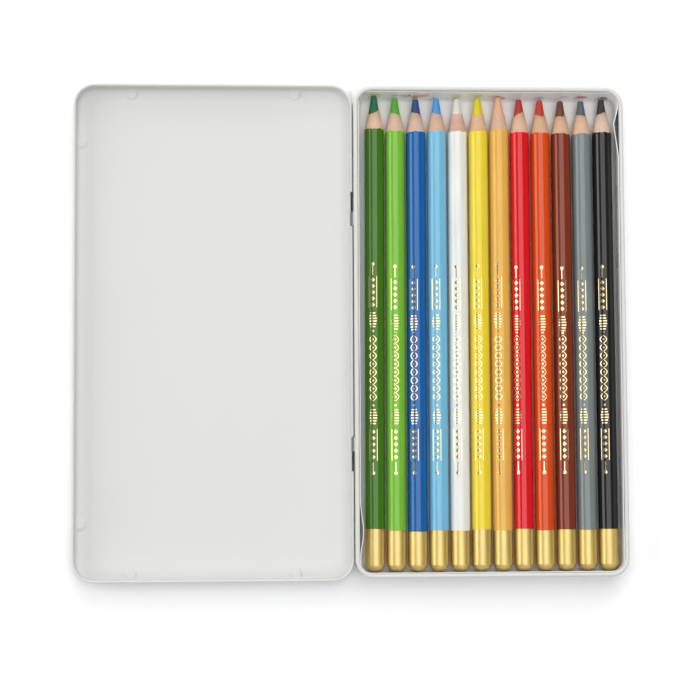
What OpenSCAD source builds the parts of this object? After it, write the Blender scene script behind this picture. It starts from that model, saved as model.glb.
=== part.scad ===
// Slim hinged tinplate case with twelve round colour pencils, open and lying flat.
// The origin is on the table under the middle of the open case and +Z is up.
// The lid lies on the -X side, the tray on the +X side, and the pencil tips point to +Y.

/* [Pencils] */
// Length of the longest pencil
pencil_len = 175; // [120:1:180]
// Diameter of the lacquered barrel
pencil_d = 7.2; // [6.5:0.1:8.5]
// Diameter of the coloured core
core_d = 3.75; // [2.2:0.05:4.5]
// Length of the sharpened cone
cone_len = 12.1; // [8:0.1:20]
// Diameter of the blunt tip
tip_d = 1.7; // [0.8:0.1:2.2]
// Thickness of the lacquer and of the dipped end's coat
coat_t = 0.1; // [0.05:0.01:0.2]
// Length of the dipped end
dip_len = 15.6; // [5:0.1:30]
// Rounding of the dipped end
end_r = 2.4; // [1:0.1:2.6]
// Gap between neighbouring barrels at the middle of their length
pencil_gap = 0.55; // [0.3:0.05:2]
// Angle in degrees between neighbouring pencils, which draws the tips together
pencil_splay = 0.03; // [0:0.01:0.05]
// Height at which the barrels lie above the liner's floor
rest_gap = 0.05; // [0.02:0.01:0.2]

/* [Liner tray] */
// Thickness of the liner's plastic sheet
liner_t = 0.3; // [0.2:0.05:0.8]
// Inside bend radius at the foot of the liner's wall
liner_foot_r = 2; // [1:0.1:2.2]
// Gap between the outermost barrel and the liner's wall on the side away from the hinge
side_gap = 1.15; // [0.8:0.05:4]
// Distance of the row of pencils from the tray's middle, away from the hinge
row_shift = 0.35; // [0:0.05:1]
// Gap between the dipped ends and the liner's end wall
butt_gap = 0.2; // [0.2:0.05:2]
// Gap between the longest pencil's tip and the liner's end wall
tip_gap = 0.8; // [0.3:0.05:4]
// Gap between the outermost barrel's rounded end and the liner's round corner
corner_gap = 0.15; // [0.1:0.01:0.18]
// Gap all round between the liner and the edge of the tray's rolled rim
liner_gap = 0.05; // [0.03:0.01:0.2]

/* [Tray] */
// Thickness of the tinplate of the tray, the lid and the knuckles
sheet_t = 0.22; // [0.18:0.01:0.28]
// How much rounder the tray's corner is than one that runs along the liner's corner
corner_ease = 0.9; // [0:0.1:1.2]
// Outside bend radius at the foot of the tray's wall
tray_foot_r = 1.5; // [0.6:0.1:2]
// Outside radius of the tray's rolled rim
tray_rim_r = 0.8; // [0.6:0.05:1.2]
// Length of the straight hem under the inner side of the rolled rim
tray_hem = 0.3; // [0.1:0.05:1]
// Height from the top of the barrels to the top of the rolled rim
headroom = 2.1; // [1.9:0.1:6]

/* [Lid] */
// Outside radius of the lid's rolled rim
lid_rim_r = 0.45; // [0.4:0.01:0.7]
// Outside bend radius at the foot of the lid's wall
lid_foot_r = 1.5; // [0.6:0.1:2]
// Gap all round between the closed lid's wall and the tray's wall
lid_gap = 0.25; // [0.2:0.05:0.6]
// Gap between the tray's rim and the closed lid's panel
panel_gap = 0.6; // [0.5:0.05:2]
// Radius of the pressed pips along the foot of the lid's wall
pip_r = 2; // [1:0.1:3]
// Height of the pressed pips
pip_h = 0.3; // [0.1:0.05:0.4]
// Flat strip between a pip and the bend at the foot of the lid's wall
pip_gap = 0.15; // [0.05:0.05:2]
// Distance of each pip from the lid's nearest corner, measured along the wall
pip_inset = 21; // [16:0.5:30]

/* [Hinge] */
// Radial clearance of the hinge wire in the knuckle and in the lid's rim
wire_gap = 0.02; // [0.01:0.01:0.05]
// Length of wire held in the lid's rim past each end of its slot
wire_hold = 2.2; // [1:0.1:5]
// Width of a knuckle along the hinge
knuckle_len = 5.2; // [3:0.1:9]
// Length of the knuckle's leg down the tray's wall, from the hinge axis
knuckle_leg = 3; // [1.5:0.1:3.4]
// Distance from the tray's end to the middle of the nearest knuckle
knuckle_inset = 48.5; // [30:0.5:54]
// Length of the slot in the lid's rim
slot_len = 12.6; // [10:0.1:20]
// Gap between a knuckle and the inner end of its slot
slot_end_gap = 0.2; // [0.1:0.05:0.6]

/* [Hidden] */
$fn = 72;
// Overshoot of a cutter past the surface that it cuts
CUT = 1;

// Lacquer colour of each pencil, from the hinge side to the far side
LACQUERS = [
    [0.22, 0.44, 0.04], // dark green
    [0.44, 0.71, 0.20], // light green
    [0.00, 0.37, 0.65], // blue
    [0.45, 0.72, 0.84], // sky blue
    [0.91, 0.91, 0.89], // white
    [0.92, 0.82, 0.20], // yellow
    [0.90, 0.69, 0.27], // ochre
    [0.86, 0.00, 0.10], // red
    [0.84, 0.29, 0.00], // orange
    [0.49, 0.18, 0.06], // brown
    [0.47, 0.51, 0.51], // grey
    [0.09, 0.09, 0.09]  // black
];
// Colour of each pencil's core, in the same order
CORES = [
    [0.18, 0.43, 0.31],
    [0.34, 0.67, 0.18],
    [0.18, 0.29, 0.49],
    [0.27, 0.59, 0.86],
    [0.88, 0.88, 0.84],
    [0.90, 0.82, 0.10],
    [0.94, 0.71, 0.55],
    [0.73, 0.24, 0.20],
    [0.78, 0.25, 0.20],
    [0.47, 0.25, 0.20],
    [0.33, 0.39, 0.45],
    [0.24, 0.24, 0.24]
];
// Length that sharpening has already taken off each pencil
WEAR = [0, 0.9, 1.1, 0.9, 1.0, 0.7, 0.2, 1.1, 1.2, 1.5, 1.5, 0.9];
// Sideways offset of each pencil's core from the barrel's axis
CORE_LEAN = [-0.2, 0.15, 0.15, 0.1, 0, 0, 0.05, -0.25, 0.05, -0.1, 0.05, -0.2];
WOOD = [0.88, 0.76, 0.65];
GOLD = [0.80, 0.66, 0.34];
WHITE_LACQUER = [0.90, 0.90, 0.88];
LINER_WHITE = [0.87, 0.86, 0.84];
BARE_STEEL = [0.56, 0.59, 0.61];

pencil_count = len(LACQUERS);
pencil_pitch = pencil_d + pencil_gap;
// The splay moves the ends of the outermost pencils sideways by this much
splay_shift = (pencil_count - 1) / 2 * pencil_splay * PI / 180 * pencil_len / 2;

// Liner: inside size, then outside size. Its corner is as round as the outermost barrel's
// rounded end allows. That end's rounding is centred at corner_a and corner_b from the two
// walls, and the corner's radius r solves (r - a)^2 + (r - b)^2 = (r - c)^2.
corner_a = side_gap + end_r;
corner_b = butt_gap + end_r;
corner_c = corner_gap + end_r;
corner_half = corner_a + corner_b - corner_c;
corner_rest = pow(corner_a, 2) + pow(corner_b, 2) - pow(corner_c, 2);
liner_corner_r = corner_half + sqrt(pow(corner_half, 2) - corner_rest);
liner_in_w = (pencil_count - 1) * pencil_pitch + pencil_d + 2 * (side_gap + row_shift + splay_shift);
liner_in_l = pencil_len + butt_gap + tip_gap;
liner_w = liner_in_w + 2 * liner_t;
liner_l = liner_in_l + 2 * liner_t;

// Tray: outside size, with the rolled rim around the liner
rim_to_liner = 2 * tray_rim_r + liner_gap;
tray_w = liner_w + 2 * rim_to_liner;
tray_l = liner_l + 2 * rim_to_liner;
tray_corner_r = liner_corner_r + liner_t + rim_to_liner + corner_ease;
pencil_z = sheet_t + liner_t + rest_gap + pencil_d / 2;
tray_h = pencil_z + pencil_d / 2 + headroom;
liner_h = tray_h - tray_rim_r - tray_hem - liner_gap - sheet_t;

// Lid: it closes around the tray, and the axis is at half the closed height,
// so that the open lid lies flat beside the tray
lid_w = tray_w + 2 * (lid_gap + 2 * lid_rim_r);
lid_l = tray_l + 2 * (lid_gap + 2 * lid_rim_r);
lid_corner_r = tray_corner_r + lid_gap + 2 * lid_rim_r;
closed_h = tray_h + panel_gap + sheet_t;
axis_z = closed_h / 2;
lid_h = axis_z + lid_rim_r;

// Places along X: the lid, the hinge axis and the tray side by side
open_w = lid_w + lid_gap + tray_w;
lid_x = (lid_w - open_w) / 2;
tray_x = (open_w - tray_w) / 2;
axis_x = lid_x + lid_w / 2 - lid_rim_r;
tray_back_x = tray_x - tray_w / 2;

// Pencils: the middle of the row, with the dipped ends against the -Y wall
row_x = tray_x + row_shift;
row_y = -liner_in_l / 2 + butt_gap + pencil_len / 2;

// Hinge: the wire fits the bore of the rolled rim, and the slot clears the knuckle
wire_bore_r = lid_rim_r - sheet_t;
wire_r = wire_bore_r - wire_gap;
wire_len = slot_len + 2 * wire_hold;
knuckle_y = tray_l / 2 - knuckle_inset;
slot_y = knuckle_y - knuckle_len / 2 - slot_end_gap + slot_len / 2;
slot_depth = lid_rim_r + lid_gap;

// Number in a pencil's name, which starts at 01
function pencil_name(i) = str("pencil_", i < 9 ? "0" : "", i + 1);

// Quarter of a ring around the origin, from the angle turn to turn + 90
module quarter_ring(r, t, turn) {
    rotate(turn)
        intersection() {
            difference() {
                circle(r);
                circle(r - t);
            }
            square(r);
        }
}

// Section of a folded wall: floor strip, foot bend and upright up to the height top.
// The outer face is at x = wall_r, measured from the centre of the tray's corner.
module wall_section(wall_r, foot_r, t, top) {
    square([wall_r - foot_r, t]);
    translate([wall_r - foot_r, foot_r]) quarter_ring(foot_r, t, -90);
    translate([wall_r - t, foot_r]) square([t, top - foot_r]);
}

// A tray folded from sheet: the flat floor, four straight walls and four round corners,
// all with the wall section that is given as the child
module folded_tray(w, l, corner_r, floor_t) {
    reach_x = w / 2 - corner_r;
    reach_y = l / 2 - corner_r;
    translate([-reach_x, -reach_y, 0]) cube([2 * reach_x, 2 * reach_y, floor_t]);
    for (side = [0 : 3]) {
        out = side % 2 == 0 ? reach_x : reach_y;
        run = side % 2 == 0 ? reach_y : reach_x;
        rotate([0, 0, 90 * side])
            translate([out, run, 0]) {
                rotate([90, 0, 0]) linear_extrude(2 * run) children();
                rotate_extrude(angle = 90) children();
            }
    }
}

// The tray's wall ends in a half ring rolled inwards and a short hem
module tray_section() {
    rim_z = tray_h - tray_rim_r;
    wall_section(tray_corner_r, tray_foot_r, sheet_t, rim_z);
    translate([tray_corner_r - tray_rim_r, rim_z])
        for (turn = [0, 90]) quarter_ring(tray_rim_r, sheet_t, turn);
    translate([tray_corner_r - 2 * tray_rim_r, rim_z - tray_hem]) square([sheet_t, tray_hem]);
}

// The lid's wall ends in three quarters of a ring rolled outwards
module lid_section() {
    rim_z = lid_h - lid_rim_r;
    wall_section(lid_corner_r - 2 * lid_rim_r + sheet_t, lid_foot_r, sheet_t, rim_z);
    translate([lid_corner_r - lid_rim_r, rim_z])
        for (turn = [-90, 0, 90]) quarter_ring(lid_rim_r, sheet_t, turn);
}

module base_tray() {
    color(WHITE_LACQUER)
        translate([tray_x, 0, 0])
            folded_tray(tray_w, tray_l, tray_corner_r, sheet_t) tray_section();
}

// Thin plastic tray that lines the tin and stands on its floor
module liner_tray() {
    outer_r = liner_corner_r + liner_t;
    color(LINER_WHITE)
        translate([tray_x, 0, sheet_t])
            folded_tray(liner_w, liner_l, outer_r, liner_t)
                wall_section(outer_r, liner_foot_r + liner_t, liner_t, liner_h);
}

// Ball whose cap of height pip_h and radius pip_r stands on the plane z = base
module pip_ball(base) {
    ball_r = (pow(pip_r, 2) + pow(pip_h, 2)) / (2 * pip_h);
    translate([0, 0, base + pip_h - ball_r]) sphere(ball_r);
}

// Places of the pips: two along the front wall and two along each end wall
module at_pips() {
    wall_in = 2 * lid_rim_r - sheet_t + lid_foot_r + pip_gap + pip_r;
    for (end = [-1, 1]) {
        translate([wall_in - lid_w / 2, end * (lid_l / 2 - pip_inset), 0]) children();
        for (side = [-1, 1])
            translate([side * (lid_w / 2 - pip_inset), end * (lid_l / 2 - wall_in), 0])
                children();
    }
}

module lid() {
    color(WHITE_LACQUER)
        difference() {
            translate([lid_x, 0, 0])
                difference() {
                    union() {
                        folded_tray(lid_w, lid_l, lid_corner_r, sheet_t) lid_section();
                        at_pips()
                            intersection() {
                                pip_ball(sheet_t);
                                translate([0, 0, sheet_t / 2]) cylinder(h = pip_h + sheet_t, r = pip_r);
                            }
                    }
                    at_pips()
                        intersection() {
                            pip_ball(0);
                            translate([0, 0, -CUT]) cylinder(h = pip_h + CUT, r = pip_r);
                        }
                }
            for (end = [-1, 1])
                translate([axis_x - 2 * lid_rim_r, end * slot_y - slot_len / 2, axis_z - slot_depth])
                    cube([4 * lid_rim_r, slot_len, slot_depth + lid_rim_r + CUT]);
        }
}

// Steel wire that lies in the lid's rolled rim and crosses the slot
module hinge_wire(end) {
    color(BARE_STEEL)
        translate([axis_x, end * slot_y - wire_len / 2, axis_z])
            rotate([-90, 0, 0]) cylinder(h = wire_len, r = wire_r);
}

// Tinplate strip rolled round the wire, with a leg down the tray's wall
module hinge_knuckle(end) {
    back = tray_back_x - axis_x;
    color(BARE_STEEL)
        translate([axis_x, end * knuckle_y + knuckle_len / 2, axis_z])
            rotate([90, 0, 0])
                linear_extrude(knuckle_len) {
                    for (turn = [90, 180, 270]) quarter_ring(lid_rim_r, sheet_t, turn);
                    translate([0, wire_bore_r]) square([back, sheet_t]);
                    translate([back - sheet_t, -knuckle_leg])
                        square([sheet_t, knuckle_leg + lid_rim_r]);
                }
}

function pencil_length(i) = pencil_len - WEAR[i];

// Half outline of pencil i, from the rounded butt end at 0 to the tip, inset by a coat
module half_outline(i, inset) {
    r = pencil_d / 2;
    length = pencil_length(i);
    intersection() {
        union() {
            translate([0, inset]) square([r - end_r, length - inset]);
            translate([0, end_r]) square([r - inset, length - end_r]);
            translate([r - end_r, end_r]) circle(end_r - inset);
        }
        polygon([[0, 0], [r, 0], [r, length - cone_len], [tip_d / 2, length], [0, length]]);
    }
}

// Space of pencil i's core, which runs a little beside the barrel's axis
module core_bore(i, past) {
    translate([CORE_LEAN[i], 0, -past]) cylinder(h = pencil_length(i) + 2 * past, d = core_d);
}

// Coats of pencil i between two distances from its butt end
module coat(i, from, to) {
    rotate_extrude()
        intersection() {
            difference() {
                half_outline(i, 0);
                half_outline(i, coat_t);
            }
            translate([0, from]) square([pencil_d, to - from]);
        }
}

module casing(i) {
    color(WOOD)
        difference() {
            rotate_extrude() half_outline(i, coat_t);
            core_bore(i, CUT);
        }
}

module core(i) {
    color(CORES[i])
        intersection() {
            rotate_extrude() half_outline(i, coat_t);
            core_bore(i, 0);
        }
}

module lacquer(i) {
    color(LACQUERS[i]) coat(i, dip_len, pencil_length(i));
}

module dip(i) {
    color(GOLD) coat(i, 0, dip_len);
}

// Lays a pencil that stands on its butt end into its place in the row
module place_pencil(i) {
    fan = i - (pencil_count - 1) / 2;
    translate([row_x + fan * pencil_pitch, row_y, pencil_z])
        rotate([0, 0, fan * pencil_splay])
            translate([0, -pencil_len / 2, 0])
                rotate([-90, 0, 0]) children();
}

base_tray();
liner_tray();
lid();
hinge_wire(1);  // hinge_wire_tip_end
hinge_wire(-1);  // hinge_wire_butt_end
hinge_knuckle(1);  // hinge_knuckle_tip_end
hinge_knuckle(-1);  // hinge_knuckle_butt_end
for (i = [0 : pencil_count - 1]) {
    place_pencil(i) casing(i);
    place_pencil(i) core(i);
    place_pencil(i) lacquer(i);
    place_pencil(i) dip(i);
}
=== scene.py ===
import math

import bpy
from mathutils import Matrix, Vector, noise


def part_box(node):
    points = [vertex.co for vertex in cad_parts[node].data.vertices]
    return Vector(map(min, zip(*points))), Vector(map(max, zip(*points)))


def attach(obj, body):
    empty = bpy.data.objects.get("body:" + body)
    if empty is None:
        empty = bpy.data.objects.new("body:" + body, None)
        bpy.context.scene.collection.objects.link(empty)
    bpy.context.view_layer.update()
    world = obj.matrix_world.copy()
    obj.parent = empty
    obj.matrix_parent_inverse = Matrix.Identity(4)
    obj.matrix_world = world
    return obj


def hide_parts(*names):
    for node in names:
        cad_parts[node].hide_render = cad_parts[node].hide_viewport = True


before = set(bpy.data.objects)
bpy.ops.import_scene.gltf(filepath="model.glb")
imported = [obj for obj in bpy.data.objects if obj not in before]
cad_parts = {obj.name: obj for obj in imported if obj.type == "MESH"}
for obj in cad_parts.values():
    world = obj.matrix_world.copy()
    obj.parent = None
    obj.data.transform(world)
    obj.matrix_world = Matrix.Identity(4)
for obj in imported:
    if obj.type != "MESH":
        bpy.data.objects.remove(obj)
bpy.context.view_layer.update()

# Base tray: a shallow box folded from thin tinplate and lacquered white. Its walls rise from
# small foot bends, and the rim is rolled inwards into a hollow half ring that ends in a short
# hem. It lies flat on the table and holds the liner.
MM = 0.001
SHEET = 0.22 * MM
TRAY_CORNER = 6.77 * MM
TRAY_FOOT = 1.5 * MM
TRAY_RIM = 0.8 * MM
TRAY_HEM = 0.3 * MM
SNUG = 0.003 * MM
TIN_WHITE = (0.70, 0.70, 0.675, 1)


def let_go():
    """Leaves edit mode and lets go of everything."""
    if bpy.context.object and bpy.context.object.mode == "EDIT":
        bpy.ops.object.mode_set(mode="OBJECT")
    bpy.ops.object.select_all(action="DESELECT")


def take(piece):
    """Selects one piece alone."""
    let_go()
    piece.select_set(True)
    bpy.context.view_layer.objects.active = piece


def edit(piece):
    """Opens one piece alone in edit mode."""
    take(piece)
    bpy.ops.object.mode_set(mode="EDIT")
    bpy.ops.mesh.select_mode(type="VERT")


def pick(piece, edges=None, faces=None):
    """Opens the piece with only those edges or faces picked that pass the test."""
    edit(piece)
    bpy.ops.mesh.select_all(action="DESELECT")
    bpy.ops.mesh.select_mode(type="EDGE" if edges else "FACE")
    bpy.ops.object.mode_set(mode="OBJECT")
    mesh = piece.data
    for e in mesh.edges if edges else ():
        a, b = (mesh.vertices[i].co for i in e.vertices)
        e.select = edges(a, b)
    for f in mesh.polygons if faces else ():
        f.select = faces(f.center)
    bpy.ops.object.mode_set(mode="EDIT")


def bend(x, z, r, start, end, steps):
    """Points of a bend round (x, z) from the angle start to the angle end, in degrees."""
    angles = [math.radians(start + (end - start) * i / steps) for i in range(steps + 1)]
    return [(x + r * math.cos(a), z + r * math.sin(a)) for a in angles]


def draw_line(name, points):
    """Draws a chain of edges by extruding one vertex from point to point."""
    let_go()
    bpy.ops.mesh.primitive_plane_add(size=MM, location=points[0])
    line = bpy.context.object
    line.name = line.data.name = name
    bpy.ops.object.transform_apply(location=True)
    edit(line)
    bpy.ops.mesh.select_all(action="SELECT")
    bpy.ops.mesh.merge(type="CENTER")
    for a, b in zip(points, points[1:]):
        bpy.ops.mesh.extrude_vertices_move(TRANSFORM_OT_translate={"value": tuple(b - a)})
    bpy.ops.mesh.select_all(action="SELECT")
    return line


def fold_tray(name, section, middle, half_w, half_l, corner, row, stops=()):
    """Carries the wall's section round a tray, along each side and round each corner, and
    closes the floor. stops are places along the +X side where a row of edges has to fall."""
    x, y = half_w - corner, half_l - corner
    tray = draw_line(name, [middle + Vector((x + u, -y, z)) for u, z in section])
    corners = [(x, y), (-x, y), (-x, -y), (x, -y)]
    for side, way in enumerate([(0, 1), (-1, 0), (0, -1), (1, 0)]):
        reach = x if side % 2 else y
        marks = [-reach, *(stops if side == 0 else ()), reach]
        for a, b in zip(marks, marks[1:]):
            rows = max(1, round((b - a) / row))
            step = (b - a) / rows
            bpy.ops.mesh.extrude_repeat(steps=rows, offset=(way[0] * step, way[1] * step, 0))
        turn = middle + Vector((*corners[side], 0))
        bpy.ops.mesh.spin(steps=14, angle=-math.pi / 2, center=turn, axis=(0, 0, 1))
    bpy.ops.mesh.select_all(action="SELECT")
    bpy.ops.mesh.remove_doubles(threshold=0.002 * MM)
    inner, floor = section[0]

    def on_inner_edge(co):
        away = Vector((max(abs(co.x - middle.x) - x, 0), max(abs(co.y - middle.y) - y, 0)))
        return away.length < inner + 0.01 * MM and abs(co.z - middle.z - floor) < 0.01 * MM

    pick(tray, edges=lambda a, b: on_inner_edge(a) and on_inner_edge(b))
    bpy.ops.mesh.edge_face_add()
    bpy.ops.mesh.select_all(action="SELECT")
    bpy.ops.mesh.normals_make_consistent(inside=False)
    return tray


def thicken(piece, thickness, offset=0, even=True):
    """Gives a folded sheet its thickness, half to each side, or outwards with offset 1."""
    take(piece)
    wall = piece.modifiers.new("Thickness", "SOLIDIFY")
    wall.thickness = thickness
    wall.offset = offset
    wall.use_even_offset = even
    bpy.ops.object.modifier_apply(modifier=wall.name)


def smooth(piece, degrees):
    """Shades the piece smooth, but for edges sharper than that."""
    take(piece)
    bpy.ops.object.shade_smooth_by_angle(angle=math.radians(degrees))


def new_group(name, takes, gives):
    """Starts a shader node group with those inputs and outputs."""
    tree = bpy.data.node_groups.new(name, "ShaderNodeTree")
    for socket, (kind, start) in takes.items():
        made = tree.interface.new_socket(name=socket, in_out="INPUT", socket_type=kind)
        made.default_value = start
    for socket, kind in gives.items():
        tree.interface.new_socket(name=socket, in_out="OUTPUT", socket_type=kind)
    return tree, tree.nodes.new("NodeGroupInput"), tree.nodes.new("NodeGroupOutput")


def put(tree, kind, group=None, **values):
    """Adds a node. A value is a property of the node, a number for a socket, or the socket of
    another node that feeds it."""
    made = tree.nodes.new(kind)
    if group:
        made.node_tree = group
    for key, value in values.items():
        if hasattr(made, key):
            setattr(made, key, value)
    for key, value in values.items():
        if hasattr(made, key):
            continue
        name = key.replace("_", " ")
        socket = made.inputs[int(key[1:])] if key[1:].isdigit() else made.inputs[name]
        if isinstance(value, bpy.types.NodeSocket):
            tree.links.new(value, socket)
        else:
            socket.default_value = value
    return made


def new_material(name, **values):
    """A material with one Principled shader. values set its sockets."""
    made = bpy.data.materials.new(name)
    made.use_nodes = True
    tree = made.node_tree
    shader = tree.nodes["Principled BSDF"]
    for key, value in values.items():
        shader.inputs[key.replace("_", " ")].default_value = value
    return made, tree, shader


def feed(tree, taker, **sockets):
    """Links sockets of other nodes to those inputs of a shader or of a group's output."""
    for key, socket in sockets.items():
        tree.links.new(socket, taker.inputs[key.replace("_", " ")])


COLOUR, VALUE, VECTOR = "NodeSocketColor", "NodeSocketFloat", "NodeSocketVector"

handled, handled_in, handled_out = new_group(
    "Handled surface",
    {"Colour": (COLOUR, (1, 1, 1, 1)), "Cloud": (VALUE, 0.03), "Specks": (VALUE, 0.3),
     "Smooth": (VALUE, 0.2), "Rough": (VALUE, 0.35), "Peel": (VALUE, 0.05)},
    {"Colour": COLOUR, "Roughness": VALUE, "Normal": VECTOR})
place = put(handled, "ShaderNodeTexCoord").outputs["Object"]
cloud = put(handled, "ShaderNodeTexNoise", Vector=place, Scale=28, Detail=4, Roughness=0.6)
darker = put(handled, "ShaderNodeMath", operation="MULTIPLY", _0=cloud.outputs["Fac"],
             _1=handled_in.outputs["Cloud"])
tone = put(handled, "ShaderNodeMath", operation="SUBTRACT", _0=1.0, _1=darker.outputs[0])
tint = put(handled, "ShaderNodeVectorMath", operation="SCALE", _0=handled_in.outputs["Colour"],
           Scale=tone.outputs[0])
grit = put(handled, "ShaderNodeTexNoise", Vector=place, Scale=1500, Detail=2, Roughness=0.7)
speck = put(handled, "ShaderNodeMapRange", Value=grit.outputs["Fac"], From_Min=0.70,
            From_Max=0.78, To_Min=0, To_Max=1)
speck_mask = put(handled, "ShaderNodeMath", operation="MULTIPLY", _0=speck.outputs[0],
                 _1=handled_in.outputs["Specks"])
dusty = put(handled, "ShaderNodeMix", data_type="RGBA", _0=speck_mask.outputs[0],
            _6=tint.outputs[0], _7=(0.33, 0.31, 0.28, 1))
wiped = put(handled, "ShaderNodeTexNoise", Vector=place, Scale=45, Detail=3, Roughness=0.5)
gloss = put(handled, "ShaderNodeMapRange", Value=wiped.outputs["Fac"], From_Min=0.3,
            From_Max=0.7, To_Min=handled_in.outputs["Smooth"],
            To_Max=handled_in.outputs["Rough"])
peel = put(handled, "ShaderNodeTexNoise", Vector=place, Scale=420, Detail=2, Roughness=0.5)
skin = put(handled, "ShaderNodeBump", Strength=handled_in.outputs["Peel"], Distance=0.1 * MM,
           Height=peel.outputs["Fac"])
feed(handled, handled_out, Colour=dusty.outputs[2], Roughness=gloss.outputs[0],
     Normal=skin.outputs[0])


def coated_material(name, group, shader_values, **values):
    """A finish whose colour, gloss and relief come from a node group with those values."""
    made, tree, shader = new_material(name, **shader_values)
    look = put(tree, "ShaderNodeGroup", group=group, **values)
    feed(tree, shader, Base_Color=look.outputs["Colour"], Roughness=look.outputs["Roughness"],
         Normal=look.outputs["Normal"])
    return made


def middle_of(name):
    """Middle of a CAD node's footprint on the table, and half its width and length."""
    low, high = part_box(name)
    middle = (low + high) / 2 * Vector((1, 1, 0)) + Vector((0, 0, SNUG / 2))
    return middle, (high - low) / 2 - Vector((SNUG, SNUG, 0))


tin_white = coated_material("White tin lacquer", handled, {"IOR": 1.5}, Colour=TIN_WHITE,
                            Cloud=0.025, Specks=0.08, Smooth=0.29, Rough=0.33, Peel=0.03)
tray_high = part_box("base_tray")[1]
tray_middle, tray_half = middle_of("base_tray")
tray_roll = tray_high.z - TRAY_RIM - SNUG
wall_line = TRAY_CORNER - SHEET / 2
tray_section = [(u * MM, SHEET / 2) for u in (1.0, 3.0, 5.0)]
tray_section += bend(TRAY_CORNER - TRAY_FOOT, TRAY_FOOT, TRAY_FOOT - SHEET / 2, -90, 0, 5)
tray_section += [(wall_line, z * MM) for z in (2.8, 4.2, 5.6, 7.0, 8.2)]
tray_section += bend(TRAY_CORNER - TRAY_RIM, tray_roll, TRAY_RIM - SHEET / 2, 0, 180, 10)
tray_section += [(TRAY_CORNER - 2 * TRAY_RIM + SHEET / 2, tray_roll - TRAY_HEM)]
tray = fold_tray("tray_tin", tray_section, tray_middle, tray_half.x, tray_half.y,
                 TRAY_CORNER, 2.0 * MM)
thicken(tray, SHEET)
smooth(tray, 40)
tray.data.materials.append(tin_white)
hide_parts("base_tray")
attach(tray, "base")

# Liner tray: thin off-white plastic, thermoformed into a tray that stands in the tin. Its cut
# edge has sprung away from the rolled rim beside the first dipped end and at the last tip. The
# wall at the tips leans in towards its foot and carries the rubbed marks of the points.
LINER = 0.3 * MM
LINER_CORNER = 4.22 * MM
LINER_FOOT = 2.0 * MM
LINER_LEAN = 1.1 * MM
LINER_WAVE = 0.16 * MM
# Bulges of the two side walls: where each starts, peaks and ends along Y, and how far it pulls
FIRST_BULGE = (-82.5, -73.0, -61.5)
FIRST_PULL = 1.0 * MM
LAST_BULGE = (64.0, 76.6, 82.4)
LAST_PULL = 1.7 * MM
LINER_WHITE = (0.86, 0.855, 0.835, 1)
# Marks on the end wall: place along X, height, half width, half height, colour
TIP_MARKS = [
    (9.6, 5.5, 4.2, 1.7, (0.60, 0.64, 0.10, 1)), (17.2, 5.2, 2.6, 1.2, (0.52, 0.48, 0.40, 1)),
    (21.0, 4.6, 2.4, 1.8, (0.55, 0.36, 0.22, 1)), (27.0, 5.0, 3.4, 1.7, (0.78, 0.22, 0.04, 1)),
    (24.8, 3.6, 2.0, 1.9, (0.76, 0.26, 0.06, 1)), (22.3, 5.2, 0.5, 0.9, (0.20, 0.10, 0.08, 1)),
    (39.8, 4.6, 3.2, 1.9, (0.58, 0.66, 0.12, 1)), (47.4, 5.0, 3.4, 1.5, (0.36, 0.64, 0.42, 1)),
    (54.5, 4.2, 3.4, 1.8, (0.70, 0.46, 0.38, 1)), (57.6, 2.6, 0.9, 1.1, (0.15, 0.14, 0.14, 1)),
    (70.8, 3.4, 2.2, 1.7, (0.24, 0.50, 0.76, 1)), (80.0, 4.8, 2.2, 1.3, (0.66, 0.48, 0.42, 1)),
    (86.6, 4.4, 3.2, 1.8, (0.58, 0.02, 0.08, 1)), (94.6, 3.0, 3.0, 2.2, (0.05, 0.05, 0.05, 1)),
]

liner_low, liner_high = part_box("liner_tray")
liner_middle, liner_half = middle_of("liner_tray")
liner_middle.z = liner_low.z
liner_top = liner_high.z - liner_low.z
liner_section = [(u * MM, LINER / 2) for u in (0.6, 1.2)]
liner_section += bend(LINER_CORNER - LINER_FOOT - LINER, LINER_FOOT + LINER,
                      LINER_FOOT + LINER / 2, -90, 0, 7)
liner_section += [(LINER_CORNER - LINER / 2, z * MM) for z in (3.3, 4.3, 5.3, 6.3, 7.2, 7.9)]
liner_section += [(LINER_CORNER - LINER / 2, liner_top)]
liner = fold_tray("liner_plastic_tray", liner_section, liner_middle, liner_half.x,
                  liner_half.y, LINER_CORNER, 1.2 * MM)


def pull(y, start, peak, end):
    """How far along a bulge between start and end the place y is, from 0 to 1 at the peak."""
    t = (y - start) / (peak - start) if y < peak else (end - y) / (end - peak)
    return min(max(t, 0.0), 1.0)


let_go()
for v in liner.data.vertices:
    up = max(0.0, (v.co.z - liner_low.z - LINER_FOOT) / (liner_top - LINER_FOOT))
    y = v.co.y / MM
    on_side = abs(v.co.y) < liner_half.y - LINER_CORNER * 0.7
    if v.co.x < liner_low.x + 1 * MM:
        t = pull(y, *FIRST_BULGE)
        v.co.x += FIRST_PULL * t * t * (3 - 2 * t) * up ** 1.4
    if v.co.x > liner_high.x - 1 * MM:
        v.co.x -= LAST_PULL * pull(y, *LAST_BULGE) ** 1.15 * up ** 1.6
    past_side = (v.co.y - liner_middle.y - liner_half.y) / LINER_CORNER + 1
    v.co.y -= LINER_LEAN * max(past_side, 0.0) * (1 - min(up, 1.0))
    wave = noise.noise(v.co * 60) * up * LINER_WAVE
    if on_side:
        v.co.x -= math.copysign(abs(wave), v.co.x - liner_middle.x)
    else:
        v.co.y -= math.copysign(abs(wave), v.co.y)
thicken(liner, LINER)
smooth(liner, 40)

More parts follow.
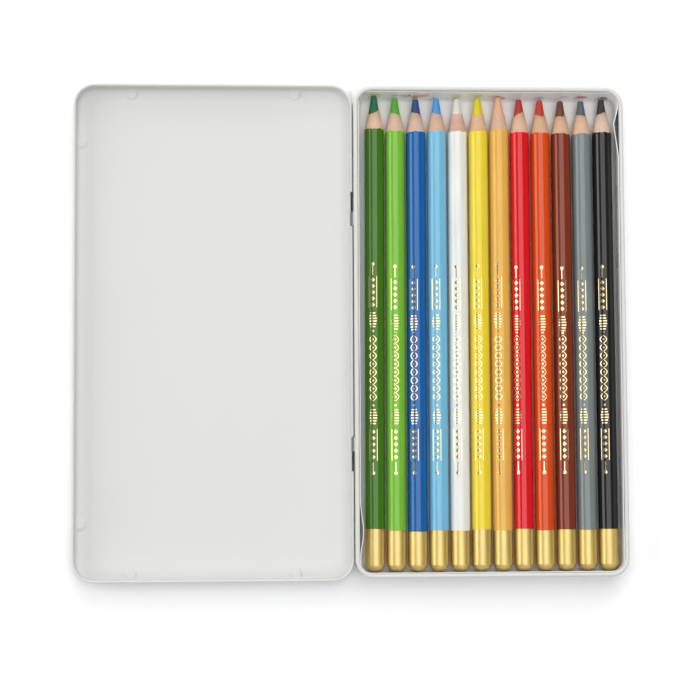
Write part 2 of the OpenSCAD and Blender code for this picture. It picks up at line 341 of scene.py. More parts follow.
scuff, scuff_in, scuff_out = new_group(
    "Point mark",
    {"Under": (COLOUR, (1, 1, 1, 1)), "Mark": (COLOUR, (0, 0, 0, 1)),
     "Place": (VECTOR, (0, 0, 0)), "Size": (VECTOR, (1, 1, 1)), "Slant": (VALUE, 0.0)},
    {"Colour": COLOUR})
where = put(scuff, "ShaderNodeTexCoord").outputs["Object"]
streaks = put(scuff, "ShaderNodeMapping", Vector=where, Scale=(1, 1, 1.4))
wobble = put(scuff, "ShaderNodeTexNoise", Vector=streaks.outputs[0], Scale=420, Detail=4,
             Roughness=0.7)
away = put(scuff, "ShaderNodeVectorMath", operation="SUBTRACT", _0=where,
           _1=scuff_in.outputs["Place"])
turned = put(scuff, "ShaderNodeVectorRotate", rotation_type="Y_AXIS", Vector=away.outputs[0],
             Angle=scuff_in.outputs["Slant"])
shares = put(scuff, "ShaderNodeVectorMath", operation="DIVIDE", _0=turned.outputs[0],
             _1=scuff_in.outputs["Size"])
far = put(scuff, "ShaderNodeVectorMath", operation="LENGTH", _0=shares.outputs[0])
ragged = put(scuff, "ShaderNodeMath", operation="MULTIPLY_ADD", _0=wobble.outputs["Fac"],
             _1=1.9, _2=-0.95)
edge = put(scuff, "ShaderNodeMath", operation="ADD", _0=far.outputs["Value"],
           _1=ragged.outputs[0])
mask = put(scuff, "ShaderNodeMapRange", interpolation_type="SMOOTHSTEP",
           Value=edge.outputs[0], From_Min=1.15, From_Max=0.35, To_Min=0, To_Max=0.85)
marked = put(scuff, "ShaderNodeMix", data_type="RGBA", _0=mask.outputs[0],
             _6=scuff_in.outputs["Under"], _7=scuff_in.outputs["Mark"])
feed(scuff, scuff_out, Colour=marked.outputs[2])

liner_white, tree, shader = new_material("Liner plastic", IOR=1.48)
look = put(tree, "ShaderNodeGroup", group=handled, Colour=LINER_WHITE, Cloud=0.04,
           Specks=0.18, Smooth=0.26, Rough=0.36, Peel=0.06)
colour = look.outputs["Colour"]
for i, (x, z, wide, high, mark) in enumerate(TIP_MARKS):
    step = put(tree, "ShaderNodeGroup", group=scuff, Under=colour, Mark=mark,
               Place=(x * MM, liner_high.y - LINER, z * MM),
               Size=(wide * MM, 3 * MM, high * MM), Slant=0.10 * math.sin(2.3 * i))
    colour = step.outputs["Colour"]
feed(tree, shader, Base_Color=colour, Roughness=look.outputs["Roughness"],
     Normal=look.outputs["Normal"])
liner.data.materials.append(liner_white)
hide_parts("liner_tray")
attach(liner, "base")

# Lid: the same white tinplate, folded a little wider than the tray so that it closes round
# it. Its rim is rolled outwards round a hollow, cut away in two slots for the hinge, and six
# flat-topped pips are pressed up along the foot of its walls.
LID_CORNER = 7.92 * MM
LID_FOOT = 1.5 * MM
LID_RIM = 0.45 * MM
SLOT_ENDS = (38.65, 51.25)
SLOT_FLOOR = 4.645 * MM
PIP = 2.3 * MM
PIP_SLOPE = 0.3
PIP_HEIGHT = 0.45 * MM
PIP_FROM_EDGE = 2.75 * MM
PIP_FROM_CORNER = 21 * MM

lid_low, lid_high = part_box("lid")
lid_middle, lid_half = middle_of("lid")
lid_roll = lid_high.z - LID_RIM - SNUG
lid_wall = LID_CORNER - 2 * LID_RIM + SHEET
lid_foot = lid_wall - LID_FOOT
lid_section = [(lid_foot - 0.45 * MM * i, SHEET / 2) for i in range(8, 0, -1)]
lid_section += bend(lid_foot, LID_FOOT, LID_FOOT - SHEET / 2, -90, 0, 6)
lid_section += [(lid_wall - SHEET / 2, z) for z in (2.4 * MM, 3.5 * MM, SLOT_FLOOR)]
lid_section += bend(LID_CORNER - LID_RIM, lid_roll, LID_RIM - SHEET / 2, 180, -90, 12)
slot_stops = [s * MM for s in (-SLOT_ENDS[1], -SLOT_ENDS[0], *SLOT_ENDS)]
lid = fold_tray("lid_tin", lid_section, lid_middle, lid_half.x, lid_half.y, LID_CORNER,
                1.1 * MM, stops=slot_stops)
pick(lid, faces=lambda c: c.x > lid_high.x - 1.2 * MM and c.z > SLOT_FLOOR
     and SLOT_ENDS[0] * MM < abs(c.y) < SLOT_ENDS[1] * MM)
bpy.ops.mesh.delete(type="FACE")

pips = [Vector((lid_low.x + PIP_FROM_EDGE, side * (lid_half.y - PIP_FROM_CORNER)))
        for side in (-1, 1)]
pips += [Vector((lid_middle.x + end * (lid_half.x - PIP_FROM_CORNER),
                 side * (lid_half.y - PIP_FROM_EDGE))) for side in (-1, 1) for end in (-1, 1)]


def near_pip(co, reach):
    """Whether a place on the lid's floor or foot lies within that reach of a pip."""
    return co.z < 2 * MM and min((co.xy - p).length for p in pips) < reach


pick(lid, faces=lambda c: near_pip(c, PIP + 0.9 * MM) and c.z < 0.4 * MM
     and (abs(c.x - lid_middle.x) > lid_half.x - 7 * MM
          or abs(c.y) > lid_half.y - 7 * MM))
bpy.ops.mesh.subdivide(number_cuts=2)
let_go()
for v in lid.data.vertices:
    if near_pip(v.co, PIP):
        share = min((v.co.xy - p).length for p in pips) / PIP
        slope = min(1.0, (1 - share) / PIP_SLOPE)
        v.co.z += PIP_HEIGHT * slope * slope * (3 - 2 * slope)
thicken(lid, SHEET)
smooth(lid, 40)
lid.data.materials.append(tin_white)
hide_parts("lid")
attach(lid, "lid")

# Hinge: two lengths of dark steel wire lie in the lid's rolled rim and cross its slots. The
# wire is coloured near black, so that it also paints the shade in the slots. A bare tinplate
# knuckle at the inner end of each slot is rolled round the wire, and its foot lies on the
# tray's rear wall under the same white lacquer, which starts at this place along X.
KNUCKLE_LACQUER = 1.02 * MM

steel_grain, steel_in, steel_out = new_group(
    "Drawn steel", {"Low": (COLOUR, (0.1, 0.1, 0.1, 1)), "High": (COLOUR, (0.3, 0.3, 0.3, 1))},
    {"Colour": COLOUR, "Roughness": VALUE})
spot = put(steel_grain, "ShaderNodeTexCoord").outputs["Object"]
drawn = put(steel_grain, "ShaderNodeMapping", Vector=spot, Scale=(1, 0.12, 1))
grain = put(steel_grain, "ShaderNodeTexNoise", Vector=drawn.outputs[0], Scale=2600, Detail=3)
steel_tone = put(steel_grain, "ShaderNodeMix", data_type="RGBA", _0=grain.outputs["Fac"],
                 _6=steel_in.outputs["Low"], _7=steel_in.outputs["High"])
dull = put(steel_grain, "ShaderNodeMapRange", Value=grain.outputs["Fac"], From_Min=0.3,
           From_Max=0.7, To_Min=0.36, To_Max=0.52)
feed(steel_grain, steel_out, Colour=steel_tone.outputs[2], Roughness=dull.outputs[0])

# Near-black wire: dark steel whose colour also paints the shade in the hinge slots.
slot_shade_wire_steel, tree, shader = new_material("Dark wire", Metallic=1.0)
look = put(tree, "ShaderNodeGroup", group=steel_grain, Low=(0.030, 0.030, 0.028, 1),
           High=(0.060, 0.060, 0.056, 1))
feed(tree, shader, Base_Color=look.outputs["Colour"], Roughness=look.outputs["Roughness"])

knuckle_steel, tree, shader = new_material("Bare tinplate", IOR=1.5)
look = put(tree, "ShaderNodeGroup", group=steel_grain, Low=(0.11, 0.145, 0.15, 1),
           High=(0.18, 0.225, 0.23, 1))
spot = put(tree, "ShaderNodeTexCoord").outputs["Object"]
across = put(tree, "ShaderNodeSeparateXYZ", _0=spot)
painted = put(tree, "ShaderNodeMath", operation="GREATER_THAN", _0=across.outputs["X"],
              _1=KNUCKLE_LACQUER)
bare = put(tree, "ShaderNodeMath", operation="SUBTRACT", _0=1.0, _1=painted.outputs[0])
skin_tone = put(tree, "ShaderNodeMix", data_type="RGBA", _0=painted.outputs[0],
                _6=look.outputs["Colour"], _7=TIN_WHITE)
feed(tree, shader, Base_Color=skin_tone.outputs[2], Roughness=look.outputs["Roughness"],
     Metallic=bare.outputs[0])
for name in ("hinge_wire_tip_end", "hinge_wire_butt_end", "hinge_knuckle_tip_end",
             "hinge_knuckle_butt_end"):
    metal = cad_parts[name]
    metal.data.materials.clear()
    metal.data.materials.append(slot_shade_wire_steel if "wire" in name else knuckle_steel)

# Pencils: round sticks of pale cedar, each with a coloured core that runs a little beside the
# axis, a thin glossy lacquer coat, and an end dipped in gold. They are turned here on their
# own axis, butt at y 0, and laid side by side in the liner with their tips towards +Y.
LENGTH = 175 * MM
BARREL = 3.6 * MM
CORE = 1.875 * MM
TIP = 1.0 * MM
# From the tip back: the bare core, the thin edge of the wood round it, and the whole cone.
# LIP is how thick that edge is, and the core starts CORE_BACK from the butt.
CORE_CONE = 5.85 * MM
WOOD_END = 5.65 * MM
CONE = 12.95 * MM
LIP = 0.2 * MM
CORE_BACK = 0.7 * MM
COAT = 0.1 * MM
DIP = 15.6 * MM
# The dipped end is a dome of END_DOME that meets a shoulder of END_EDGE at END_TILT degrees
END_DOME = 3.5 * MM
END_EDGE = 0.6 * MM
END_TILT = 20
PITCH = 7.75 * MM
SPLAY = math.radians(0.03)
ROW_X = tray_middle.x + 0.35 * MM
ROW_Y = -0.3 * MM
ROW_Z = 4.17 * MM
ROUND_STEPS = 72
# Each pencil: name of its colour, length worn off, sideways and upward place of its core, how
# far its dip falls short, turn of its trim in degrees, lacquer, core and wood colours
PENCILS = [
    ("dark_green", 0.0, (-0.20, 0.20), 0.0, -14,
     (0.045, 0.160, 0.002), (0.020, 0.152, 0.072), (0.75, 0.54, 0.41)),
    ("light_green", 0.9, (0.15, 0.10), 0.7, -7,
     (0.178, 0.495, 0.028), (0.090, 0.385, 0.025), (0.70, 0.50, 0.39)),
    ("blue", 1.1, (0.15, -0.05), 1.1, -23,
     (0.000, 0.110, 0.370), (0.021, 0.070, 0.193), (0.67, 0.49, 0.39)),
    ("sky_blue", 0.9, (0.10, 0.05), 0.7, -15,
     (0.170, 0.485, 0.680), (0.069, 0.317, 0.640), (0.68, 0.46, 0.34)),
    ("white", 1.0, (0.00, 0.05), 0.8, -18,
     (0.790, 0.790, 0.750), (0.740, 0.720, 0.660), (0.66, 0.43, 0.33)),
    ("yellow", 0.7, (0.00, 0.15), 0.4, -16,
     (0.830, 0.640, 0.030), (0.760, 0.600, 0.006), (0.72, 0.47, 0.32)),
    ("ochre", 0.2, (0.05, 0.00), 0.8, -23,
     (0.780, 0.430, 0.070), (0.770, 0.425, 0.265), (0.68, 0.47, 0.35)),
    ("red", 1.1, (-0.25, -0.05), 0.3, -38,
     (0.700, 0.000, 0.008), (0.410, 0.030, 0.020), (0.71, 0.50, 0.36)),
    ("orange", 1.2, (0.05, 0.10), 0.9, -9,
     (0.680, 0.062, 0.000), (0.510, 0.043, 0.028), (0.66, 0.44, 0.30)),
    ("brown", 1.5, (-0.10, 0.08), 0.6, -13,
     (0.205, 0.025, 0.003), (0.150, 0.044, 0.022), (0.68, 0.45, 0.30)),
    ("grey", 1.5, (0.05, 0.00), 0.8, -20,
     (0.188, 0.220, 0.218), (0.088, 0.112, 0.138), (0.73, 0.49, 0.35)),
    ("black", 0.9, (-0.20, -0.05), 0.5, -21,
     (0.007, 0.007, 0.007), (0.028, 0.029, 0.027), (0.71, 0.56, 0.46)),
]


def turn_solid(name, outline, closed=False):
    """Turns an outline of (r, y) round the Y axis into a solid."""
    points = [Vector((r, y, 0)) for r, y in outline]
    made = draw_line(name, points + points[:1] if closed else points)
    bpy.ops.mesh.spin(steps=ROUND_STEPS, angle=2 * math.pi, center=(0, 0, 0), axis=(0, 1, 0))
    bpy.ops.mesh.select_all(action="SELECT")
    bpy.ops.mesh.remove_doubles(threshold=0.001 * MM)
    bpy.ops.mesh.select_all(action="SELECT")
    bpy.ops.mesh.normals_make_consistent(inside=False)
    let_go()
    return made


def wood_y(r):
    """How far from the butt the sharpened wood has the radius r, on a full-length pencil."""
    return LENGTH - CONE + (CONE - WOOD_END) * (BARREL - r) / (BARREL - CORE - LIP)


def core_y(r):
    """The same for the bare core, which runs on at a smaller angle."""
    return LENGTH - CORE_CONE * (r - TIP) / (CORE - TIP)


def rounded_end(inset, steps):
    """Outline of the dipped end, inset by a coat: a shallow dome, then a tighter shoulder."""
    lean = math.radians(END_TILT)
    dome_x = BARREL - END_EDGE - (END_DOME - END_EDGE) * math.cos(lean)
    shoulder_y = END_DOME - (END_DOME - END_EDGE) * math.sin(lean)
    dome = bend(dome_x, END_DOME, END_DOME - inset, -90, -END_TILT, steps)
    shoulder = bend(BARREL - END_EDGE, shoulder_y, END_EDGE - inset, -END_TILT, 0, 3)
    return [(0, inset), *dome, *shoulder[1:]]


wood_r = BARREL - COAT
casing_outline = rounded_end(COAT, 8) + [(wood_r, DIP), (wood_r, wood_y(wood_r))]
casing_outline += [(r, wood_y(r)) for r in (3.2 * MM, 2.8 * MM, CORE + LIP)]
casing_outline += [(CORE, LENGTH - WOOD_END), (CORE, CORE_BACK), (0, CORE_BACK)]
casing_master = turn_solid("casing_master", casing_outline)
core_outline = [(0, CORE_BACK), (CORE, CORE_BACK), (CORE, core_y(CORE))]
core_outline += [(r, core_y(r)) for r in (1.6 * MM, 1.3 * MM, 1.06 * MM)]
core_outline += [(TIP - 0.03 * MM, LENGTH - 0.13 * MM), (TIP - 0.14 * MM, LENGTH - 0.03 * MM),
                 (TIP - 0.30 * MM, LENGTH), (0, LENGTH)]
core_master = turn_solid("core_master", core_outline)
coat_outline = [(BARREL, DIP), (BARREL, LENGTH - CONE - 1.2 * MM),
                (BARREL, LENGTH - CONE - 0.02 * MM),
                (BARREL - 0.02 * MM, LENGTH - CONE + 0.06 * MM),
                (wood_r, wood_y(wood_r)), (wood_r, LENGTH - CONE - 1.2 * MM), (wood_r, DIP)]
coat_master = turn_solid("coat_master", coat_outline, closed=True)
dip_outline = rounded_end(0, 12) + [(BARREL, DIP - 0.15 * MM), (BARREL - 0.03 * MM, DIP)]
dip_outline += [(wood_r, DIP)] + rounded_end(COAT, 12)[::-1]
dip_master = turn_solid("dip_master", dip_outline)

# Gold foil on the barrels: a generic band of trim stamped along the middle of each stick. Two
# waves cross in its middle, with bars, lozenges, rules and dots to both sides. It is cut flat
# here, then laid on the barrel's roundness.
FOIL = 0.012 * MM
FOIL_MIDDLE = 74.0 * MM
FOIL_ASIDE = 0.17 * MM
BAR_WIDTHS = (1.9, 2.4, 2.9, 2.9, 2.4, 1.9)


def flat_shape(kind, u, long, across, aside=0):
    """A flat bar, lozenge or dot of foil, u mm along the stick and so many mm aside."""
    let_go()
    where = (FOIL_ASIDE + aside * MM, u * MM, 0)
    if kind == "bar":
        bpy.ops.mesh.primitive_plane_add(size=1, location=where)
    else:
        bpy.ops.mesh.primitive_circle_add(vertices=4 if kind == "lozenge" else 12, radius=0.5,
                                          fill_type="NGON", location=where)
    shape = bpy.context.object
    shape.scale = (across * MM, long * MM, 1)
    bpy.ops.object.transform_apply(location=True, scale=True)
    return shape


def foil_wave(phase, half, swing, waves, wide):
    """A narrow ribbon that swings across the stick, extruded from a line of edges."""
    steps = 18 * waves
    path = [Vector((swing * math.sin(phase + 2 * math.pi * waves * i / steps),
                    -half + 2 * half * i / steps, 0)) for i in range(steps + 1)]
    ribbon = draw_line("foil_wave", path)
    bpy.ops.mesh.extrude_edges_move(TRANSFORM_OT_translate={"value": (wide, 0, 0)})
    let_go()
    return ribbon


bits = [foil_wave(phase, 12 * MM, 1.2 * MM, 4, 0.34 * MM) for phase in (0, math.pi)]
for eye in range(8):
    bits.append(flat_shape("lozenge", -10.5 + 3 * eye, 1.1, 0.9))
for way in (-1, 1):
    bits.append(flat_shape("dot", way * 13.6, 0.9, 0.9))
    for row, across in enumerate(BAR_WIDTHS):
        bits.append(flat_shape("bar", way * (15.2 + row), 0.46, across))
    for row in range(5):
        bits.append(flat_shape("lozenge", way * (23.2 + 2.3 * row), 1.7, 1.6))
    for side in (-1, 1):
        bits.append(flat_shape("bar", way * 28, 11.5, 0.24, aside=side * 1.45))
    bits.append(flat_shape("bar", way * 36.0, 3.6, 0.34))
    bits.append(flat_shape("dot", way * 38.2, 1.3, 1.3))
let_go()
for bit in bits:
    bit.select_set(True)
bpy.context.view_layer.objects.active = bits[0]
bpy.ops.object.join()
foil_master = bpy.context.object
foil_master.name = foil_master.data.name = "foil_master"
for cut in range(-6, 8):
    edit(foil_master)
    bpy.ops.mesh.select_all(action="SELECT")
    bpy.ops.mesh.bisect(plane_co=(cut * 0.3 * MM, 0, 0), plane_no=(1, 0, 0))
edit(foil_master)
bpy.ops.mesh.select_all(action="SELECT")
bpy.ops.mesh.remove_doubles(threshold=0.001 * MM)
let_go()
for f in foil_master.data.polygons:
    if f.normal.z < 0:
        f.flip()
for v in foil_master.data.vertices:
    turn = (v.co.x - FOIL_ASIDE) / BARREL
    v.co = Vector((BARREL * math.sin(turn), FOIL_MIDDLE + v.co.y, BARREL * math.cos(turn)))
thicken(foil_master, FOIL, offset=1, even=False)

# Finishes of the pencils: sharpened cedar, waxy cores, glossy lacquer, a gold dip and foil. A
# place inside the pencil is kept on each vertex, so that grain, smudges and wear follow the
# stick however it lies.
STICK = "stick_place"
SMUDGED = 0.55
OCHRE_SMUDGED = 1.6

wood, wood_in, wood_out = new_group(
    "Sharpened cedar",
    {"Cedar": (COLOUR, (0.7, 0.5, 0.35, 1)), "Smudge": (COLOUR, (0.5, 0.5, 0.5, 1)),
     "Smudged": (VALUE, 0.3), "Core end": (VALUE, 8.0)},
    {"Colour": COLOUR, "Roughness": VALUE, "Normal": VECTOR})
stick = put(wood, "ShaderNodeAttribute", attribute_name=STICK).outputs["Vector"]
stretch = put(wood, "ShaderNodeMapping", Vector=stick, Scale=(1, 0.055, 1))
fibres = put(wood, "ShaderNodeTexNoise", Vector=stretch.outputs[0], Scale=5.5, Detail=5,
             Roughness=0.65)
pores = put(wood, "ShaderNodeMapRange", Value=fibres.outputs["Fac"], From_Min=0.36,
            From_Max=0.66, To_Min=1, To_Max=0)
in_pore = put(wood, "ShaderNodeVectorMath", operation="MULTIPLY", _0=wood_in.outputs["Cedar"],
              _1=(0.84, 0.76, 0.68))
grained = put(wood, "ShaderNodeMix", data_type="RGBA", _0=pores.outputs[0],
              _6=wood_in.outputs["Cedar"], _7=in_pore.outputs[0])
parts = put(wood, "ShaderNodeSeparateXYZ", _0=stick)
before_cone = put(wood, "ShaderNodeMapRange", Value=parts.outputs["Y"], From_Min=-12.9,
                  From_Max=-11.6, To_Min=0.55, To_Max=0)
blush = put(wood, "ShaderNodeTexNoise", Vector=stick, Scale=0.7, Detail=2)
stain = put(wood, "ShaderNodeMath", operation="MULTIPLY", _0=before_cone.outputs[0],
            _1=blush.outputs["Fac"])
stained = put(wood, "ShaderNodeMix", data_type="RGBA", _0=stain.outputs[0],
              _6=grained.outputs[2], _7=(0.70, 0.30, 0.09, 1))
tip_side = put(wood, "ShaderNodeMath", operation="MULTIPLY", _0=wood_in.outputs["Core end"],
               _1=-1.0)
to_core = put(wood, "ShaderNodeMath", operation="SUBTRACT", _0=parts.outputs["Y"],
              _1=tip_side.outputs[0])
fade = put(wood, "ShaderNodeMapRange", Value=to_core.outputs[0], From_Min=-3.2, From_Max=0.3,
           To_Min=0, To_Max=1)
rubbed = put(wood, "ShaderNodeMath", operation="MULTIPLY", _0=fade.outputs[0],
             _1=fibres.outputs["Fac"])
smudge = put(wood, "ShaderNodeMath", operation="MULTIPLY", _0=rubbed.outputs[0],
             _1=wood_in.outputs["Smudged"], use_clamp=True)
smudged = put(wood, "ShaderNodeMix", data_type="RGBA", _0=smudge.outputs[0],
              _6=stained.outputs[2], _7=wood_in.outputs["Smudge"])
dry = put(wood, "ShaderNodeMapRange", Value=fibres.outputs["Fac"], To_Min=0.5, To_Max=0.68)
ridges = put(wood, "ShaderNodeBump", Strength=0.25, Distance=0.05 * MM,
             Height=fibres.outputs["Fac"])
feed(wood, wood_out, Colour=smudged.outputs[2], Roughness=dry.outputs[0],
     Normal=ridges.outputs[0])

coat, coat_in, coat_out = new_group(
    "Lacquer coat",
    {"Colour": (COLOUR, (0.5, 0.5, 0.5, 1)), "Smooth": (VALUE, 0.12), "Rough": (VALUE, 0.2)},
    {"Colour": COLOUR, "Roughness": VALUE, "Normal": VECTOR})
stick = put(coat, "ShaderNodeAttribute", attribute_name=STICK).outputs["Vector"]
long_way = put(coat, "ShaderNodeMapping", Vector=stick, Scale=(1, 0.08, 1))
flow = put(coat, "ShaderNodeTexNoise", Vector=long_way.outputs[0], Scale=0.9, Detail=3)
depth = put(coat, "ShaderNodeMapRange", Value=flow.outputs["Fac"], From_Min=0.3,
            From_Max=0.7, To_Min=0.93, To_Max=1.05)
deep = put(coat, "ShaderNodeVectorMath", operation="SCALE", _0=coat_in.outputs["Colour"],
           Scale=depth.outputs[0])
dust = put(coat, "ShaderNodeTexNoise", Vector=stick, Scale=4.5, Detail=3, Roughness=0.7)
worn = put(coat, "ShaderNodeMapRange", Value=dust.outputs["Fac"], From_Min=0.35,
           From_Max=0.75, To_Min=coat_in.outputs["Smooth"], To_Max=coat_in.outputs["Rough"])
runs = put(coat, "ShaderNodeTexNoise", Vector=long_way.outputs[0], Scale=1.6, Detail=2)
skin = put(coat, "ShaderNodeBump", Strength=0.10, Distance=0.05 * MM,
           Height=runs.outputs["Fac"])
feed(coat, coat_out, Colour=deep.outputs[0], Roughness=worn.outputs[0],
     Normal=skin.outputs[0])

gold = coated_material("Gold dip", coat,
                       {"Metallic": 1.0, "Coat_Weight": 0.6, "Coat_IOR": 1.7,
                        "Coat_Roughness": 0.10},
                       Colour=(0.735, 0.56, 0.187, 1), Smooth=0.42, Rough=0.50)
foil_gold = coated_material("Gold foil", coat, {"Metallic": 1.0},
                            Colour=(0.95, 0.76, 0.42, 1), Smooth=0.15, Rough=0.22)


def ragged(angle, seed, size):
    """A small uneven step round the stick, the same for every piece that meets there."""
    at = Vector((2.2 * math.cos(angle), 2.2 * math.sin(angle), 7.3 * seed))
    fine = Vector((6.0 * math.cos(angle), 6.0 * math.sin(angle), 3.1 * seed))
    return size * (noise.noise(at) + 0.6 * noise.noise(fine))


def shape_stick(mesh, kind, seed, worn_off, lean, short):
    """Moves the front of a copied mesh back by the worn length, sets the edge where the core
    meets the wood, and makes the edges of lacquer and dip uneven."""
    for v in mesh.vertices:
        r, y = math.hypot(v.co.x, v.co.z), v.co.y
        angle = math.atan2(v.co.z, v.co.x)
        lip = r - CORE if kind == "casing" else 0.0
        if kind in ("casing", "core") and min(abs(r - CORE), abs(lip - LIP)) < 0.004 * MM:
            along = lean.x * math.cos(angle) + lean.y * math.sin(angle)
            beside = lean.x * math.sin(angle) - lean.y * math.cos(angle)
            reach = along + math.sqrt(CORE ** 2 - beside ** 2)
            if y > LENGTH / 2:
                reach += ragged(angle, seed, 0.11 * MM)
                v.co.y = core_y(reach) if kind == "core" else wood_y(reach + LIP)
            reach += LIP if lip > LIP / 2 else 0.0
            v.co.x, v.co.z = reach * math.cos(angle), reach * math.sin(angle)
        if kind == "coat" and y > LENGTH - CONE - 0.1 * MM:
            v.co.y -= max(0.0, 0.12 * MM + ragged(angle, seed + 20, 0.42 * MM))
        if y > LENGTH / 2:
            v.co.y -= worn_off
        elif kind == "coat" and y < DIP + 0.1 * MM:
            v.co.y -= short + ragged(angle, seed + 40, 0.08 * MM)
        elif kind == "dip" and y > DIP - 0.3 * MM:
            v.co.y -= short + ragged(angle, seed + 40, 0.08 * MM)


# Each kind of piece: its master, its name on a pencil and the name of the solid it replaces
KINDS = {"casing": (casing_master, "wood", "casing"), "core": (core_master, "core", "core"),
         "coat": (coat_master, "lacquer", "lacquer"), "dip": (dip_master, "dip", "dip"),
         "foil": (foil_master, "foil_trim", None)}
for i, (colour_name, worn_off, lean, short, trim, paint, pigment, cedar) in enumerate(PENCILS):
    stick_name = f"pencil_{i + 1:02d}"
    fan = i - (len(PENCILS) - 1) / 2
    lie = (Matrix.Translation((ROW_X + fan * PITCH, ROW_Y, ROW_Z))
           @ Matrix.Rotation(fan * SPLAY, 4, "Z")
           @ Matrix.Translation((0, -LENGTH / 2, 0)))
    lacquer = coated_material(f"Lacquer {colour_name}", coat, {"IOR": 1.58},
                              Colour=(*paint, 1), Smooth=0.05, Rough=0.13)
    cedar_wood = coated_material(f"Cedar {i + 1:02d}", wood, {"IOR": 1.4},
                                 Cedar=(*cedar, 1), Smudge=(*pigment, 1),
                                 Smudged=OCHRE_SMUDGED if colour_name == "ochre" else SMUDGED,
                                 Core_end=WOOD_END / MM)
    waxy = coated_material(f"Core {colour_name}", coat, {"IOR": 1.45},
                           Colour=(*pigment, 1), Smooth=0.42, Rough=0.6)
    finishes = {"casing": (cedar_wood, "pencil_wood"), "core": (waxy, "core_" + colour_name),
                "coat": (lacquer, "lacquer_" + colour_name), "dip": (gold, "gold_dip"),
                "foil": (foil_gold, "gold_dip")}
    for kind, (master, part_name, solid_name) in KINDS.items():
        piece = bpy.data.objects.new(f"{stick_name}_{part_name}", master.data.copy())
        bpy.context.scene.collection.objects.link(piece)
        mesh = piece.data
        mesh.name = piece.name
        shape_stick(mesh, kind, i, worn_off * MM, Vector(lean) * MM, short * MM)
        inside = mesh.attributes.new(STICK, "FLOAT_VECTOR", "POINT")
        tip_y = LENGTH - worn_off * MM
        for v, kept in zip(mesh.vertices, inside.data):
            kept.vector = (v.co.x / MM + 31 * i, (v.co.y - tip_y) / MM, v.co.z / MM)
        if kind == "foil":
            mesh.transform(Matrix.Rotation(math.radians(trim), 4, "Y"))
        mesh.transform(lie)
        smooth(piece, 30 if kind == "foil" else 9)
        finish, slot_name = finishes[kind]
        mesh.materials.append(finish)
        if solid_name:
            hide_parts(f"{stick_name}_{solid_name}")
        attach(piece, stick_name)
for master, _, _ in KINDS.values():
    bpy.data.objects.remove(master)

# Table and studio: a white table that glows a little to the camera. The glow is turned off in
# the slit under the hinge, which paints shade there, and close before the tin, which paints a
# deeper shadow where the shadow falls. A soft box hangs overhead, others stand to the left and
# beyond the tips, and a narrow strip hangs in front.
TABLE_GLOW = 0.14
# Before the tin the glow comes back over DARK_FADE, measured out from a rectangle with its
# corner at DARK_NEAR, and behind the band TIN_FRONT it is on everywhere but in the slit. Where
# it stays off, the darker table is painted shadow before the tin and painted shade in the
# slit.
SLIT_X = 0.7 * MM
SLIT_HALF = 0.75 * MM
SLIT_END = 90 * MM
DARK_NEAR = (90 * MM, 87.5 * MM, 0)
DARK_FADE = (5 * MM, 16 * MM)
TIN_FRONT = (-85 * MM, -70 * MM)


def soft_box(name, place, facing, wide, high, radiance):
    """A one-sided soft box whose surface has that radiance, where 1 is white."""
    lamp = bpy.data.lights.new(name, "AREA")
    lamp.shape = "RECTANGLE"
    lamp.size, lamp.size_y = wide, high
    lamp.energy = radiance * math.pi * wide * high
    box = bpy.data.objects.new(name, lamp)
    bpy.context.scene.collection.objects.link(box)
    box.location = place
    box.rotation_euler = Vector(facing).to_track_quat("-Z", "Y").to_euler()


let_go()
bpy.ops.mesh.primitive_plane_add(size=6, location=(0, 0, -0.02 * MM))
table = bpy.context.object
table.name = "table_top"
white_table, tree, shader = new_material("White table", Roughness=0.9, IOR=1.1)
shader.inputs["Base Color"].default_value = (0.90, 0.90, 0.90, 1)
shader.inputs["Emission Color"].default_value = (1, 1, 1, 1)
ray = put(tree, "ShaderNodeLightPath").outputs
seen = put(tree, "ShaderNodeMath", operation="MAXIMUM", _0=ray["Is Camera Ray"],
           _1=ray["Is Glossy Ray"])
seen = put(tree, "ShaderNodeMath", operation="MAXIMUM", _0=seen.outputs[0],
           _1=ray["Is Transmission Ray"])
glow = put(tree, "ShaderNodeMath", operation="MULTIPLY", _0=seen.outputs[0], _1=TABLE_GLOW)
table_place = put(tree, "ShaderNodeTexCoord").outputs["Object"]
spot = put(tree, "ShaderNodeSeparateXYZ", _0=table_place)
# Painted shade: the glow is cut in the slit under the hinge.
slit_x = put(tree, "ShaderNodeMath", operation="COMPARE", _0=spot.outputs["X"], _1=SLIT_X,
             _2=SLIT_HALF)
slit_y = put(tree, "ShaderNodeMath", operation="COMPARE", _0=spot.outputs["Y"], _1=0.0,
             _2=SLIT_END)
slit = put(tree, "ShaderNodeMath", operation="MULTIPLY", _0=slit_x.outputs[0],
           _1=slit_y.outputs[0])
no_painted_slit_shade = put(tree, "ShaderNodeMath", operation="SUBTRACT", _0=1.0, _1=slit.outputs[0])
# Painted shadow: the glow fades out close before the tin.
quarter = put(tree, "ShaderNodeVectorMath", operation="ABSOLUTE", _0=table_place)
outside = put(tree, "ShaderNodeVectorMath", operation="SUBTRACT", _0=quarter.outputs[0],
              _1=DARK_NEAR)
outside = put(tree, "ShaderNodeVectorMath", operation="MAXIMUM", _0=outside.outputs[0],
              _1=(0, 0, 0))
distance = put(tree, "ShaderNodeVectorMath", operation="LENGTH", _0=outside.outputs[0])
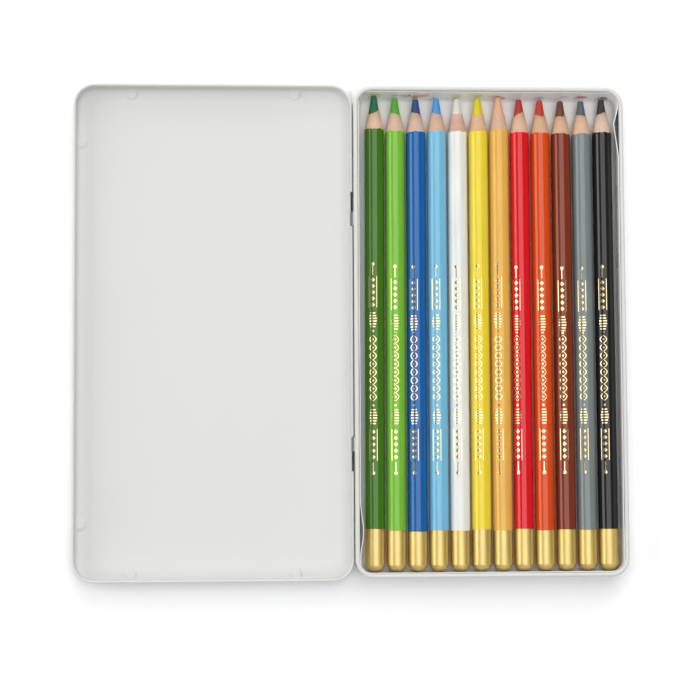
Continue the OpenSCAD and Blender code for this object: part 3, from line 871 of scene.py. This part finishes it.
away = put(tree, "ShaderNodeMapRange", Value=distance.outputs["Value"],
           From_Min=DARK_FADE[0], From_Max=DARK_FADE[1], To_Min=0, To_Max=1)
beside = put(tree, "ShaderNodeMapRange", Value=spot.outputs["Y"], From_Min=TIN_FRONT[0],
             From_Max=TIN_FRONT[1], To_Min=0, To_Max=1)
clear = put(tree, "ShaderNodeMath", operation="MAXIMUM", _0=away.outputs[0],
            _1=beside.outputs[0])
glow_mask_painted_shade = put(tree, "ShaderNodeMath", operation="MULTIPLY", _0=no_painted_slit_shade.outputs[0],
          _1=clear.outputs[0])
glow = put(tree, "ShaderNodeMath", operation="MULTIPLY", _0=glow.outputs[0],
           _1=glow_mask_painted_shade.outputs[0])
feed(tree, shader, Emission_Strength=glow.outputs[0])
table.data.materials.append(white_table)

soft_box("overhead_soft_box", (0.065, 0.25, 0.9), (0, 0, -1), 0.89, 1.4, 1.60)
soft_box("front_strip", (0.50, -0.60, 0.86), (-0.2, 0.5, -0.86), 1.6, 0.22, 2.4)
soft_box("left_soft_box", (-0.9, 0.08, 0.45), (1, 0, 0), 1.05, 0.7, 2.25)
soft_box("far_soft_box", (0.5, 1.4, 0.55), (0, -1, 0), 1.8, 0.9, 2.2)
world = bpy.data.worlds.new("Studio")
bpy.context.scene.world = world
world.use_nodes = True
world.node_tree.nodes["Background"].inputs["Color"].default_value = (0.97, 0.99, 1.0, 1)
world.node_tree.nodes["Background"].inputs["Strength"].default_value = 0.21

# Camera: nearly straight above the hinge, 0.7 m up, leaning a little to the right and to the
# far side, as fitted to the edges of the tin and the twelve sticks.
SENSOR = 36
FOCAL_SHARE = 1907.6 / 700

lens = bpy.data.cameras.new("overhead_camera")
lens.sensor_width = SENSOR
lens.lens = FOCAL_SHARE * SENSOR
camera = bpy.data.objects.new("overhead_camera", lens)
bpy.context.scene.collection.objects.link(camera)
camera.location = (-39.64 * MM, -57.02 * MM, 700 * MM)
camera.rotation_euler = [math.radians(a) for a in (4.129, -3.226, -0.307)]
bpy.context.scene.camera = camera
bpy.context.scene.view_settings.view_transform = "Standard"
